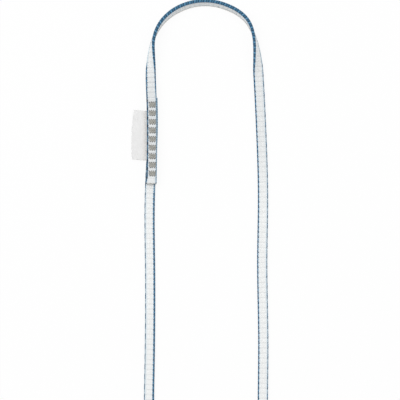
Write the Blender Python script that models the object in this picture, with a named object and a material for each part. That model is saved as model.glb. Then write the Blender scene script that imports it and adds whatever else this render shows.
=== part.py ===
"""Sewn climbing sling: a long loop of narrow two-colour tape, lying on a table.

The tape is one strip. It starts in the lower layer of the sewn joint on the left leg, runs down that
leg, round the far end, up the right leg and over the near arch, and ends in the joint's upper layer. It
lies flat along the legs and stands on edge round both ends. Nine bar tacks sew the layers together, each
a needle thread above and a bobbin thread below, and they hold a folded label by its tab.

Metres, +Z up. The origin is on the table, below the centre of the whole sling.
"""

import math

import bmesh
import bpy
import numpy as np

# Tape, in metres
TAPE_WIDTH = 0.0080
TAPE_THICK = 0.0020
SELVEDGE_WIDTH = 0.0007
SELVEDGE_GAP = 0.0002
SELVEDGE_INSET = 0.0002
SELVEDGE_ROUND = 0.00023
CORE_CORNER = 0.0004
WELD = 0.00001

# Sewn joint, in metres
THREAD = 0.0004
SEAT_GAP = 0.0003
TACK_PITCH = 0.00666
TACK_LENGTH = 0.0053
TACK_WIDTH = 0.0042
TACK_TO_END = 0.0081
HOLE_GAP = 0.0001
LOCK_GAP = 0.0003
OVERRUN = 0.0010

# Label, in metres
LABEL_LENGTH = 0.0380
LABEL_REACH = 0.0103
LABEL_CLOTH = 0.00025
LABEL_HOLLOW = 0.0003
LABEL_TO_END = 0.0181
TAB_INSIDE = 0.0046
TAB_GAP = 0.0002
HINGE_OUT = 0.0056
HINGE_GAP = 0.00045
ROOT_HOLLOW = 0.0001

# Counts and angles
TACK_COUNT = 9
STITCHES = 9
HOLE_SIDES = 6
FOLD_STEPS = 6
DROOP_DEG = 13.5

# Sampling of the route
STEP_LONGEST = 0.024
STEP_FINEST = 0.0005
STEP_TURN_DEG = 11.0

# The tape's route: x and y in metres, the tilt in degrees, and the layers that lie below it.
# A tilt of 0 stands on edge, a plus tilt leans the upper edge outwards, and -90 lies flat.
ROUTE = [
    (-0.0365, 0.1883, -90, 1),
    (-0.0362, 0.1670, -90, 1),
    (-0.0378, 0.1290, -90, 1),
    (-0.0386, 0.1030, -90, 0),
    (-0.0383, 0.0620, -90, 0),
    (-0.0382, 0.0200, -90, 0),
    (-0.0388, -0.0270, -90, 0),
    (-0.0387, -0.0562, -80, 0),
    (-0.0323, -0.0862, -34, 0),
    (-0.0141, -0.1112, -6, 0),
    (-0.0024, -0.1412, 0, 0),
    (-0.0169, -0.1806, 4, 0),
    (-0.0418, -0.2165, 11, 0),
    (-0.0321, -0.2480, 14, 0),
    (0.0049, -0.2618, 16, 0),
    (0.0419, -0.2482, 14, 0),
    (0.0506, -0.2168, 11, 0),
    (0.0293, -0.1815, 4, 0),
    (0.0115, -0.1416, 0, 0),
    (0.0238, -0.1116, -6, 0),
    (0.0421, -0.0865, -34, 0),
    (0.0482, -0.0562, -80, 0),
    (0.0485, -0.0402, -90, 0),
    (0.0488, 0.0030, -90, 0),
    (0.0480, 0.0620, -90, 0),
    (0.0486, 0.1120, -90, 0),
    (0.0475, 0.1560, -90, 0),
    (0.0451, 0.2048, -84, 0),
    (0.0442, 0.2178, -48, 0),
    (0.0422, 0.2334, -12, 0),
    (0.0360, 0.2478, 11, 0),
    (0.0229, 0.2571, 18, 0),
    (0.0046, 0.2613, 21, 0),
    (-0.0144, 0.2573, 22, 0),
    (-0.0285, 0.2470, 13, 0),
    (-0.0354, 0.2341, -4, 0),
    (-0.0373, 0.2193, -42, 0),
    (-0.0377, 0.2058, -80, 1),
    (-0.0372, 0.1918, -90, 2),
    (-0.0371, 0.1221, -90, 2),
]

# Sizes that follow
HALF_WIDTH = TAPE_WIDTH / 2
HALF_THICK = TAPE_THICK / 2
CORE_HALF = HALF_WIDTH - SELVEDGE_WIDTH - SELVEDGE_GAP
TAB_THICK = 2 * LABEL_CLOTH
LAYER_GAP = TAB_THICK + 2 * TAB_GAP
LOWER_LIFT = THREAD + SEAT_GAP
UPPER_LIFT = LOWER_LIFT + TAPE_THICK + LAYER_GAP
JOINT_TOP = UPPER_LIFT + TAPE_THICK
LOCK_HEIGHT = LOWER_LIFT + TAPE_THICK + LAYER_GAP / 2
THREAD_RADIUS = THREAD / 2
HOLE_RADIUS = THREAD_RADIUS + HOLE_GAP
LABEL_THICK = 2 * LABEL_CLOTH + LABEL_HOLLOW

# Colours, roughness
WHITE_CORE = ((0.80, 0.81, 0.80, 1.0), 0.65)
BLUE_YARN = ((0.05, 0.17, 0.36, 1.0), 0.60)
GREY_THREAD = ((0.38, 0.37, 0.33, 1.0), 0.70)
WHITE_RIBBON = ((0.86, 0.86, 0.85, 1.0), 0.50)


def clear_scene():
    """Remove what the file opened with."""
    for found in list(bpy.context.scene.objects):
        bpy.data.objects.remove(found, do_unlink=True)


def new_collection(name):
    """A collection in the scene."""
    made = bpy.data.collections.new(name)
    bpy.context.scene.collection.children.link(made)
    return made


def new_material(name, finish):
    """A Principled BSDF with one colour and roughness."""
    colour, roughness = finish
    material = bpy.data.materials.new(name)
    material.use_nodes = True
    shader = material.node_tree.nodes["Principled BSDF"]
    shader.inputs["Base Color"].default_value = colour
    shader.inputs["Roughness"].default_value = roughness
    shader.inputs["Metallic"].default_value = 0.0
    return material


def smooth_slopes(knots, values):
    """Slopes at the knots of the cubic whose bend never jumps, straight at both ends."""
    count = len(knots)
    gaps = np.diff(knots)
    rises = np.diff(values) / gaps
    system = np.zeros((count, count))
    target = np.zeros(count)
    system[0, :2] = (2, 1)
    target[0] = 3 * rises[0]
    system[-1, -2:] = (1, 2)
    target[-1] = 3 * rises[-1]
    for i in range(1, count - 1):
        before, after = gaps[i - 1], gaps[i]
        system[i, i - 1 : i + 2] = (after, 2 * (before + after), before)
        target[i] = 3 * (after * rises[i - 1] + before * rises[i])
    return np.linalg.solve(system, target)


def steady_slopes(knots, values):
    """Slopes at the knots of a cubic that never passes beyond its knots' values."""
    rises = np.diff(values) / np.diff(knots)
    slopes = np.zeros(len(knots))
    for i in range(1, len(knots) - 1):
        if rises[i - 1] * rises[i] > 0:
            slopes[i] = 2 * rises[i - 1] * rises[i] / (rises[i - 1] + rises[i])
    return slopes


def cubic(knots, values, slopes, places):
    """The cubic through the knots, read at places along it."""
    i = np.clip(np.searchsorted(knots, places) - 1, 0, len(knots) - 2)
    gap = knots[i + 1] - knots[i]
    t = (places - knots[i]) / gap
    return (
        (1 + 2 * t) * (1 - t) ** 2 * values[i]
        + t * (1 - t) ** 2 * gap * slopes[i]
        + t**2 * (3 - 2 * t) * values[i + 1]
        + t**2 * (t - 1) * gap * slopes[i + 1]
    )


def standing_height(tilt, layers):
    """Height of the tape's centre over the table, from its tilt in radians and the layers below it."""
    lift = np.interp(layers, (0, 1, 2), (0, LOWER_LIFT, UPPER_LIFT))
    return lift + HALF_WIDTH * np.abs(np.cos(tilt)) + HALF_THICK * np.abs(np.sin(tilt))


def smooth_route():
    """The route read finely: x, y, z and tilt in radians, one row every STEP_FINEST."""
    table = np.array(ROUTE, dtype=float)
    x, y = table[:, 0], table[:, 1]
    knots = np.concatenate([[0], np.cumsum(np.hypot(np.diff(x), np.diff(y)))])
    places = np.linspace(0, knots[-1], int(knots[-1] / STEP_FINEST))
    tilt = cubic(knots, np.radians(table[:, 2]), steady_slopes(knots, np.radians(table[:, 2])), places)
    layers = cubic(knots, table[:, 3], steady_slopes(knots, table[:, 3]), places)
    return np.column_stack(
        [
            cubic(knots, x, smooth_slopes(knots, x), places),
            cubic(knots, y, smooth_slopes(knots, y), places),
            standing_height(tilt, layers),
            tilt,
        ]
    )


def thinned(fine):
    """Rows of the fine route that are kept: close where the tape bends or twists, far apart elsewhere."""
    step = np.diff(fine[:, :3], axis=0)
    length = np.linalg.norm(step, axis=1)
    heading = np.unwrap(np.arctan2(step[:, 1], step[:, 0]))
    turned = np.concatenate([[0], np.abs(np.diff(heading))]) + np.abs(np.diff(fine[:, 3]))
    kept = [0]
    run = turn = 0.0
    for i in range(len(step)):
        run += length[i]
        turn += turned[i]
        if run >= STEP_LONGEST or turn >= math.radians(STEP_TURN_DEG):
            kept.append(i + 1)
            run = turn = 0.0
    if kept[-1] != len(fine) - 1:
        kept[-1] = len(fine) - 1
    return fine[kept]


def flat_outline(name, points, collection):
    """A closed flat curve that a tape is swept from."""
    curve = bpy.data.curves.new(name, "CURVE")
    curve.dimensions = "2D"
    curve.fill_mode = "NONE"
    spline = curve.splines.new("POLY")
    spline.points.add(len(points) - 1)
    for point, (x, y) in zip(spline.points, points, strict=True):
        point.co = (x, y, 0, 1)
    spline.use_cyclic_u = True
    guide = bpy.data.objects.new(name, curve)
    guide.hide_render = True
    guide.display_type = "WIRE"
    collection.objects.link(guide)
    return guide


def swept_tape(name, rows, outline, material, collection):
    """A strip of one section along the route, with closed ends."""
    curve = bpy.data.curves.new(name, "CURVE")
    curve.dimensions = "3D"
    curve.twist_mode = "Z_UP"
    curve.bevel_mode = "OBJECT"
    curve.bevel_object = outline
    curve.use_fill_caps = True
    spline = curve.splines.new("POLY")
    spline.points.add(len(rows) - 1)
    for point, (x, y, z, tilt) in zip(spline.points, rows, strict=True):
        point.co = (x, y, z, 1)
        point.tilt = tilt
    strip = bpy.data.objects.new(name, curve)
    strip.data.materials.append(material)
    collection.objects.link(strip)
    return strip


def as_mesh(swept, collection):
    """The curve object as a mesh object with welded ends, which a Boolean can cut."""
    name = swept.name
    graph = bpy.context.evaluated_depsgraph_get()
    mesh = bpy.data.meshes.new_from_object(swept.evaluated_get(graph))
    shell = bmesh.new()
    shell.from_mesh(mesh)
    bmesh.ops.remove_doubles(shell, verts=shell.verts, dist=WELD)
    bmesh.ops.recalc_face_normals(shell, faces=shell.faces)
    shell.to_mesh(mesh)
    shell.free()
    place = swept.matrix_world.copy()
    bpy.data.objects.remove(swept, do_unlink=True)
    made = bpy.data.objects.new(name, mesh)
    made.matrix_world = place
    mesh.name = name
    collection.objects.link(made)
    return made


def core_outline():
    """Section of the white core: a flat bar with its corners cut. X is the thickness and Y the width."""
    x, y, cut = HALF_THICK, CORE_HALF, CORE_CORNER
    right = [(x - cut, -y), (x, -y + cut), (x, y - cut), (x - cut, y)]
    return right + [(-a, -b) for a, b in right]


def selvedge_outline(side):
    """Section of one blue edge: flat against the core, rounded outside. side is 1 above and -1 below."""
    inner = CORE_HALF + SELVEDGE_GAP
    outer = HALF_WIDTH
    shoulder = outer - SELVEDGE_ROUND
    half = [(HALF_THICK - SELVEDGE_INSET, inner), (HALF_THICK, shoulder), (HALF_THICK / 2, outer)]
    points = half + [(-x, y) for x, y in reversed(half)]
    return [(-side * x, side * y) for x, y in points]


def make_tape(rows, parts, guides):
    """The white core and its two blue edges."""
    white = new_material("white_core", WHITE_CORE)
    blue = new_material("blue_yarn", BLUE_YARN)
    outline = flat_outline("core_outline", core_outline(), guides)
    core = as_mesh(swept_tape("tape_core", rows, outline, white, parts), parts)
    for name, side in (("selvedge_near", 1), ("selvedge_far", -1)):
        outline = flat_outline(name + "_outline", selvedge_outline(side), guides)
        swept_tape(name, rows, outline, blue, parts)
    return core


def tack_centres(fine):
    """Centre of each bar tack, from the front layer's cut end upwards, midway between the two layers."""
    joint = int((2 * TACK_TO_END + TACK_COUNT * TACK_PITCH) / STEP_FINEST)
    front, back = fine[-joint:], fine[:joint]
    centres = []
    for number in range(TACK_COUNT):
        y = fine[-1, 1] + TACK_TO_END + number * TACK_PITCH
        above = front[np.abs(front[:, 1] - y).argmin(), 0]
        below = back[np.abs(back[:, 1] - y).argmin(), 0]
        centres.append(((above + below) / 2, y))
    return centres


def zigzag(centre, level, way):
    """Points of one side of a bar tack: up one hole, across in long stitches, down the other hole."""
    x, y = centre
    pitch = TACK_WIDTH / (STITCHES - 1)
    reach = TACK_LENGTH / 2 - THREAD_RADIUS
    straight = reach - pitch / 2
    height = level + way * THREAD_RADIUS
    lock = LOCK_HEIGHT + way * LOCK_GAP / 2
    left, right = x - TACK_WIDTH / 2, x + TACK_WIDTH / 2
    points = [(left, y - reach, lock), (left, y - reach, level - way * SEAT_GAP)]
    points.append((left, y - straight, height))
    for number in range(STITCHES - 1):
        end = 1 if number % 2 == 0 else -1
        column = left + number * pitch
        points.append((column, y + end * straight, height))
        points.append((column + pitch / 2, y + end * reach, height))
        points.append((column + pitch, y + end * straight, height))
    points.append((right, y + straight, height))
    points.append((right, y + reach, level - way * SEAT_GAP))
    points.append((right, y + reach, lock))
    return points


def thread_tube(name, points, material, collection):
    """One thread, as a tube along its points."""
    curve = bpy.data.curves.new(name, "CURVE")
    curve.dimensions = "3D"
    curve.bevel_depth = THREAD_RADIUS
    curve.bevel_resolution = 0
    curve.use_fill_caps = True
    spline = curve.splines.new("POLY")
    spline.points.add(len(points) - 1)
    for point, place in zip(spline.points, points, strict=True):
        point.co = (*place, 1)
    thread = bpy.data.objects.new(name, curve)
    thread.data.materials.append(material)
    collection.objects.link(thread)
    return thread


def needle_holes(centres, guides):
    """One cutter for every hole that a thread runs down, through both layers and the label's tab."""
    deep = JOINT_TOP + 2 * OVERRUN
    reach = TACK_LENGTH / 2 - THREAD_RADIUS
    cutter = bmesh.new()
    for x, y in centres:
        for side in (-1, 1):
            drilled = bmesh.ops.create_cone(
                cutter,
                cap_ends=True,
                segments=HOLE_SIDES,
                radius1=HOLE_RADIUS,
                radius2=HOLE_RADIUS,
                depth=deep,
            )
            place = (x + side * TACK_WIDTH / 2, y + side * reach, JOINT_TOP / 2)
            bmesh.ops.translate(cutter, verts=drilled["verts"], vec=place)
    mesh = bpy.data.meshes.new("needle_holes")
    cutter.to_mesh(mesh)
    cutter.free()
    holes = bpy.data.objects.new("needle_holes", mesh)
    holes.hide_render = True
    holes.display_type = "WIRE"
    guides.objects.link(holes)
    return holes


def cut_by(solid, cutter):
    """Take the cutter's shape out of a solid."""
    cut = solid.modifiers.new("needle_holes", "BOOLEAN")
    cut.operation = "DIFFERENCE"
    cut.solver = "EXACT"
    cut.object = cutter


def make_tacks(fine, parts):
    """The nine bar tacks: a needle thread above the front layer, a bobbin thread below the back one."""
    grey = new_material("grey_thread", GREY_THREAD)
    centres = tack_centres(fine)
    for number, centre in enumerate(centres, start=1):
        above = zigzag(centre, JOINT_TOP + SEAT_GAP, 1)
        below = zigzag(centre, LOWER_LIFT - SEAT_GAP, -1)
        thread_tube(f"bar_tack_{number}_needle_thread", above, grey, parts)
        thread_tube(f"bar_tack_{number}_bobbin_thread", below, grey, parts)
    return centres


def solid_strip(name, profile, length, material, collection):
    """A profile in X and Z, drawn out along Y about its own middle."""
    curve = bpy.data.curves.new(name, "CURVE")
    curve.dimensions = "2D"
    curve.fill_mode = "BOTH"
    curve.extrude = length / 2
    spline = curve.splines.new("POLY")
    spline.points.add(len(profile) - 1)
    for point, (x, z) in zip(spline.points, profile, strict=True):
        point.co = (x, z, 0, 1)
    spline.use_cyclic_u = True
    strip = bpy.data.objects.new(name, curve)
    strip.data.materials.append(material)
    strip.rotation_euler = (math.radians(90), 0, 0)
    collection.objects.link(strip)
    return strip


def folded_profile():
    """Profile of the flap: two leaves of ribbon that run out to a round fold. The hinge is at zero."""
    outer, inner = LABEL_THICK / 2, LABEL_HOLLOW / 2
    root_outer, root_inner = ROOT_HOLLOW / 2 + LABEL_CLOTH, ROOT_HOLLOW / 2
    root = -HINGE_GAP
    bend = -LABEL_REACH + outer
    angles = [math.pi / 2 + math.pi * step / FOLD_STEPS for step in range(FOLD_STEPS + 1)]
    outside = [(bend + outer * math.cos(a), outer * math.sin(a)) for a in angles]
    inside = [(bend + inner * math.cos(a), inner * math.sin(a)) for a in reversed(angles)]
    outer_leaf = [(root, root_outer), *outside, (root, -root_outer)]
    return [*outer_leaf, (root, -root_inner), *inside, (root, root_inner)]


def make_label(fine, holes, parts):
    """The label: a tab held between the layers, and a folded flap that turns at its hinge."""
    ribbon = new_material("white_ribbon", WHITE_RIBBON)
    end_x, end_y = fine[-1, :2]
    hinge_x = end_x - HINGE_OUT
    middle_y = end_y + LABEL_TO_END + LABEL_LENGTH / 2
    deep, half = HINGE_OUT - HALF_WIDTH + TAB_INSIDE, TAB_THICK / 2
    pressed = [(0, -half), (deep, -half), (deep, half), (0, half)]
    tab = solid_strip("label_tab", pressed, LABEL_LENGTH, ribbon, parts)
    tab.location = (hinge_x, middle_y, LOCK_HEIGHT)
    bpy.context.view_layer.update()
    cut_by(as_mesh(tab, parts), holes)
    hinge = bpy.data.objects.new("label_hinge", None)
    hinge.location = (hinge_x, middle_y, LOCK_HEIGHT)
    hinge.rotation_euler = (0, math.radians(-DROOP_DEG), 0)
    parts.objects.link(hinge)
    flap = solid_strip("label_flap", folded_profile(), LABEL_LENGTH, ribbon, parts)
    flap.parent = hinge


def main():
    """Build the sling."""
    clear_scene()
    parts = new_collection("climbing_sling")
    guides = new_collection("cutters")
    fine = smooth_route()
    rows = thinned(fine)
    core = make_tape(rows, parts, guides)
    centres = make_tacks(fine, parts)
    holes = needle_holes(centres, guides)
    cut_by(core, holes)
    make_label(fine, holes, parts)
    length = float(np.linalg.norm(np.diff(fine[:, :3], axis=0), axis=1).sum())
    print(f"tape length {length:.4f} m, {len(rows)} rings")


main()
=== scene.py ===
"""Looks of a sewn climbing sling: white tape with blue edges, grey bar tacks and a folded ribbon label.

The sling lies on a pale table and is seen straight from above. Metres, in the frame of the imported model.
"""

from __future__ import annotations

import logging
import math
from dataclasses import dataclass, field
from enum import Enum

import bmesh
import bpy
import numpy as np
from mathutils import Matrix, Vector


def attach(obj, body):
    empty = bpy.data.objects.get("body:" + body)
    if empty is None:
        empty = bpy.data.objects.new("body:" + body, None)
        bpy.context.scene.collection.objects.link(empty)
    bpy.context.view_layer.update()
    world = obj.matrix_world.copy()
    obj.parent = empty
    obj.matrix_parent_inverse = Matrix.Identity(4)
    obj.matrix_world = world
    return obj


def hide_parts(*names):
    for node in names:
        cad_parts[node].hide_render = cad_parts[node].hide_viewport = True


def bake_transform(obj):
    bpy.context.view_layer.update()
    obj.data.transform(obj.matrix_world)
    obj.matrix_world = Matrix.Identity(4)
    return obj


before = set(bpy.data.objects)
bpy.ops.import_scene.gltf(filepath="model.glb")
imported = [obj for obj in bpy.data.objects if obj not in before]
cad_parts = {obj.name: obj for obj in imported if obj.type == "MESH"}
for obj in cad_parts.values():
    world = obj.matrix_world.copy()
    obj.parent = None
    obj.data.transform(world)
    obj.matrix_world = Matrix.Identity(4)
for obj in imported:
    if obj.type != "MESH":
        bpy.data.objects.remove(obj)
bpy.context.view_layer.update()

log = logging.getLogger("climbing_sling")

Colour = tuple[float, float, float]

CORD_STEP = 0.002

# The tape's route: x and y in metres, the tilt in degrees, and the layers that lie below it.
# A tilt of 0 stands on edge, a plus tilt leans the upper edge outwards, and -90 lies flat.
ROUTE = [
    (-0.0365, 0.1883, -90, 1),
    (-0.0362, 0.1670, -90, 1),
    (-0.0378, 0.1290, -90, 1),
    (-0.0386, 0.1030, -90, 0),
    (-0.0383, 0.0620, -90, 0),
    (-0.0382, 0.0200, -90, 0),
    (-0.0388, -0.0270, -90, 0),
    (-0.0387, -0.0562, -80, 0),
    (-0.0323, -0.0862, -34, 0),
    (-0.0141, -0.1112, -6, 0),
    (-0.0024, -0.1412, 0, 0),
    (-0.0169, -0.1806, 4, 0),
    (-0.0418, -0.2165, 11, 0),
    (-0.0321, -0.2480, 14, 0),
    (0.0049, -0.2618, 16, 0),
    (0.0419, -0.2482, 14, 0),
    (0.0506, -0.2168, 11, 0),
    (0.0293, -0.1815, 4, 0),
    (0.0115, -0.1416, 0, 0),
    (0.0238, -0.1116, -6, 0),
    (0.0421, -0.0865, -34, 0),
    (0.0482, -0.0562, -80, 0),
    (0.0485, -0.0402, -90, 0),
    (0.0488, 0.0030, -90, 0),
    (0.0480, 0.0620, -90, 0),
    (0.0486, 0.1120, -90, 0),
    (0.0475, 0.1560, -90, 0),
    (0.0451, 0.2048, -84, 0),
    (0.0442, 0.2178, -48, 0),
    (0.0422, 0.2334, -12, 0),
    (0.0360, 0.2478, 11, 0),
    (0.0229, 0.2571, 18, 0),
    (0.0046, 0.2613, 21, 0),
    (-0.0144, 0.2573, 22, 0),
    (-0.0285, 0.2470, 13, 0),
    (-0.0354, 0.2341, -4, 0),
    (-0.0373, 0.2193, -42, 0),
    (-0.0377, 0.2058, -80, 1),
    (-0.0372, 0.1918, -90, 2),
    (-0.0371, 0.1221, -90, 2),
]


def ramp(values: np.ndarray, start: float, end: float) -> np.ndarray:
    """How far the values have come from start to end, from 0 to 1."""
    return np.clip((values - start) / (end - start), 0, 1)


class Edge(Enum):
    """The tape's two edges: the near one is inside the flat legs and on top of the arch."""

    NEAR = 1
    FAR = -1


class Layer(Enum):
    """The two sides of a bar tack."""

    NEEDLE = 1
    BOBBIN = -1


@dataclass(frozen=True)
class TapeSizes:
    """Sizes of the woven tape, and how high its layers lie."""

    width: float = 0.0080
    thickness: float = 0.0020
    pillow: float = 0.00387
    core_width: float = 0.0071
    lift_one: float = 0.0007
    lift_two: float = 0.0036

    @property
    def half_width(self) -> float:
        """Half the tape's width."""
        return self.width / 2

    @property
    def half_thickness(self) -> float:
        """Half the tape's thickness."""
        return self.thickness / 2


@dataclass(frozen=True)
class JointSizes:
    """Sizes of the sewn joint, and how the tape gives there.

    press_from and press_full count in halves of a tack's length, and the beats in pitches.
    """

    count: int = 9
    pitch: float = 0.00660
    to_end: float = 0.0080
    tack_length: float = 0.0051
    tack_width: float = 0.0054
    tack_shift: float = 0.0005
    sink: float = 0.00030
    puff: float = 0.00012
    closing: float = 0.00018
    lowered: float = 0.00035
    bobbin_sink: float = 0.00008
    flare: float = 0.00085
    flare_length: float = 0.0060
    press_from: float = 1.35
    press_full: float = 1.0
    beat_before: float = 0.7
    beat_after: float = 0.3


@dataclass
class Stations:
    """Places along the tape, with its three directions at each.

    along points down the tape, face out of its outer face, and edge towards its near edge.
    """

    centre: np.ndarray
    along: np.ndarray
    face: np.ndarray
    edge: np.ndarray
    distance: np.ndarray

    def place(self, across: np.ndarray, out: np.ndarray, forward: np.ndarray | float = 0.0) -> np.ndarray:
        """Points of a strip from their offsets in the tape's own directions.

        Args:
            across: Offset towards the near edge, one row for each station.
            out: Offset along the outer face's normal, the same shape.
            forward: Offset down the tape, the same shape or one number.

        Returns:
            The points, as rows, columns and x, y, z.
        """
        forward = np.broadcast_to(forward, across.shape)
        return (
            self.centre[:, None, :]
            + across[..., None] * self.edge[:, None, :]
            + out[..., None] * self.face[:, None, :]
            + forward[..., None] * self.along[:, None, :]
        )

    def near_end(self, reach: float) -> np.ndarray:
        """How near each place is to an end of the tape: 1 at the cut, 0 from reach inwards."""
        left = np.minimum(self.distance, self.distance[-1] - self.distance)
        return ramp(left, reach, 0)


@dataclass
class TapeRoute:
    """The line that the whole tape follows, from the hidden end in the joint to the end on top of it."""

    sizes: TapeSizes
    fine_step: float = 0.0005
    points: np.ndarray = field(init=False)
    tilt: np.ndarray = field(init=False)
    distance: np.ndarray = field(init=False)
    length: float = field(init=False)

    def __post_init__(self) -> None:
        """Read the route finely."""
        sizes = self.sizes
        table = np.array(ROUTE, dtype=float)
        x, y, layers = table[:, 0], table[:, 1], table[:, 3]
        knots = np.concatenate([[0], np.cumsum(np.hypot(np.diff(x), np.diff(y)))])
        places = np.linspace(0, knots[-1], int(knots[-1] / self.fine_step))
        turn = np.radians(table[:, 2])
        self.tilt = self._cubic(knots, turn, self._steady_slopes(knots, turn), places)
        below = self._cubic(knots, layers, self._steady_slopes(knots, layers), places)
        height = np.interp(below, (0, 1, 2), (0, sizes.lift_one, sizes.lift_two))
        height += sizes.half_width * np.abs(np.cos(self.tilt))
        height += sizes.half_thickness * np.abs(np.sin(self.tilt))
        self.points = np.column_stack(
            [
                self._cubic(knots, x, self._smooth_slopes(knots, x), places),
                self._cubic(knots, y, self._smooth_slopes(knots, y), places),
                height,
            ]
        )
        steps = np.linalg.norm(np.diff(self.points, axis=0), axis=1)
        self.distance = np.concatenate([[0], np.cumsum(steps)])
        self.length = float(self.distance[-1])

    @staticmethod
    def _smooth_slopes(knots: np.ndarray, values: np.ndarray) -> np.ndarray:
        """Slopes of the cubic whose bend never jumps.

        Args:
            knots: Distance of each point along the route.
            values: Value at each point.

        Returns:
            The slope at each point.
        """
        count = len(knots)
        gaps = np.diff(knots)
        rises = np.diff(values) / gaps
        system = np.zeros((count, count))
        target = np.zeros(count)
        system[0, :2] = (2, 1)
        target[0] = 3 * rises[0]
        system[-1, -2:] = (1, 2)
        target[-1] = 3 * rises[-1]
        for i in range(1, count - 1):
            before, after = gaps[i - 1], gaps[i]
            system[i, i - 1 : i + 2] = (after, 2 * (before + after), before)
            target[i] = 3 * (after * rises[i - 1] + before * rises[i])
        return np.linalg.solve(system, target)

    @staticmethod
    def _steady_slopes(knots: np.ndarray, values: np.ndarray) -> np.ndarray:
        """Slopes of a cubic that never passes beyond its points' values.

        Args:
            knots: Distance of each point along the route.
            values: Value at each point.

        Returns:
            The slope at each point.
        """
        rises = np.diff(values) / np.diff(knots)
        slopes = np.zeros(len(knots))
        for i in range(1, len(knots) - 1):
            if rises[i - 1] * rises[i] > 0:
                slopes[i] = 2 * rises[i - 1] * rises[i] / (rises[i - 1] + rises[i])
        return slopes

    @staticmethod
    def _cubic(knots: np.ndarray, values: np.ndarray, slopes: np.ndarray, places: np.ndarray) -> np.ndarray:
        """The cubic through the points, read at places along it.

        Args:
            knots: Distance of each point along the route.
            values: Value at each point.
            slopes: Slope at each point.
            places: Distances to read at.

        Returns:
            The values at the places.
        """
        i = np.clip(np.searchsorted(knots, places) - 1, 0, len(knots) - 2)
        gap = knots[i + 1] - knots[i]
        t = (places - knots[i]) / gap
        return (
            (1 + 2 * t) * (1 - t) ** 2 * values[i]
            + t * (1 - t) ** 2 * gap * slopes[i]
            + t**2 * (3 - 2 * t) * values[i + 1]
            + t**2 * (t - 1) * gap * slopes[i + 1]
        )

    def stations(self, step: float) -> Stations:
        """Evenly spaced places along the tape.

        Args:
            step: Distance from one place to the next, about.

        Returns:
            The places and the tape's directions there.
        """
        count = max(2, round(self.length / step)) + 1
        distance = np.linspace(0, self.length, count)
        centre = np.column_stack([np.interp(distance, self.distance, self.points[:, k]) for k in range(3)])
        tilt = np.interp(distance, self.distance, self.tilt)
        along = np.gradient(centre, axis=0)
        along /= np.linalg.norm(along, axis=1)[:, None]
        outward = np.column_stack([along[:, 1], -along[:, 0], np.zeros(count)])
        outward /= np.linalg.norm(outward, axis=1)[:, None]
        upward = np.cross(outward, along)
        cos, sin = np.cos(tilt)[:, None], np.sin(tilt)[:, None]
        return Stations(centre, along, cos * outward - sin * upward, cos * upward + sin * outward, distance)


@dataclass
class SewnJoint:
    """Where the bar tacks press the two layers together."""

    sizes: JointSizes
    route: TapeRoute
    end: np.ndarray = field(init=False)
    span: float = field(init=False)
    centres: list[tuple[float, float]] = field(init=False)

    def __post_init__(self) -> None:
        """Find the bar tacks' centres."""
        sizes = self.sizes
        self.end = self.route.points[-1]
        self.span = 2 * sizes.to_end + sizes.count * sizes.pitch
        rows = int(self.span / self.route.fine_step)
        front, back = self.route.points[-rows:], self.route.points[:rows]
        column = (front[:, 0].mean() + back[:, 0].mean()) / 2 + sizes.tack_shift
        heights = [self.end[1] + sizes.to_end + number * sizes.pitch for number in range(sizes.count)]
        self.centres = [(column, y) for y in heights]

    def in_front(self, stations: Stations) -> np.ndarray:
        """How far each place is in the joint's upper layer, from 0 to 1."""
        into = self.span - (self.route.length - stations.distance)
        return np.clip(into / self.sizes.pitch, 0, 1)

    def in_back(self, stations: Stations) -> np.ndarray:
        """How far each place is in the joint's lower layer, from 0 to 1."""
        return np.clip((self.span - stations.distance) / self.sizes.pitch, 0, 1)

    def from_tack(self, stations: Stations) -> np.ndarray:
        """Distance along the tape to the nearest bar tack's middle, as a share of half its length."""
        middles = np.array([y for _, y in self.centres])
        return np.abs(stations.centre[:, 1, None] - middles).min(axis=1) / (self.sizes.tack_length / 2)

    def press(self, stations: Stations) -> np.ndarray:
        """How hard the bar tacks press at each place: 1 under one, 0 away from them."""
        pressed = ramp(self.from_tack(stations), self.sizes.press_from, self.sizes.press_full)
        return pressed * ((self.in_front(stations) > 0) | (self.in_back(stations) > 0))

    def beat(self, stations: Stations) -> np.ndarray:
        """The rhythm of the upper layer's bar tacks.

        Args:
            stations: The places along the tape.

        Returns:
            1 beside the middle of a tack, -1 midway between two, and 0 away from them.
        """
        sizes = self.sizes
        phase = (stations.centre[:, 1] - self.centres[0][1]) / sizes.pitch
        inside = (phase > -sizes.beat_before) & (phase < sizes.count - sizes.beat_after)
        return np.cos(math.tau * phase) * inside * self.in_front(stations)

    def swell(self, stations: Stations) -> tuple[np.ndarray, np.ndarray]:
        """How far the tape's two faces stand proud in the joint.

        Args:
            stations: The places along the tape.

        Returns:
            The offset of the outer face and that of the inner one, a plus sign for outwards.
        """
        sizes = self.sizes
        press, front, back = self.press(stations), self.in_front(stations), self.in_back(stations)
        outer = front * ((1 - press) * sizes.puff - press * sizes.sink) + back * sizes.closing
        inner = front * sizes.closing + back * (sizes.lowered - press * sizes.bobbin_sink)
        return outer, inner

    def flare(self, stations: Stations) -> np.ndarray:
        """How far the far edge curls out before the upper layer's cut end."""
        share = ramp(self.route.length - stations.distance, self.sizes.flare_length, 0)
        return self.sizes.flare * np.sin(share * math.pi / 2) ** 2


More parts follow.
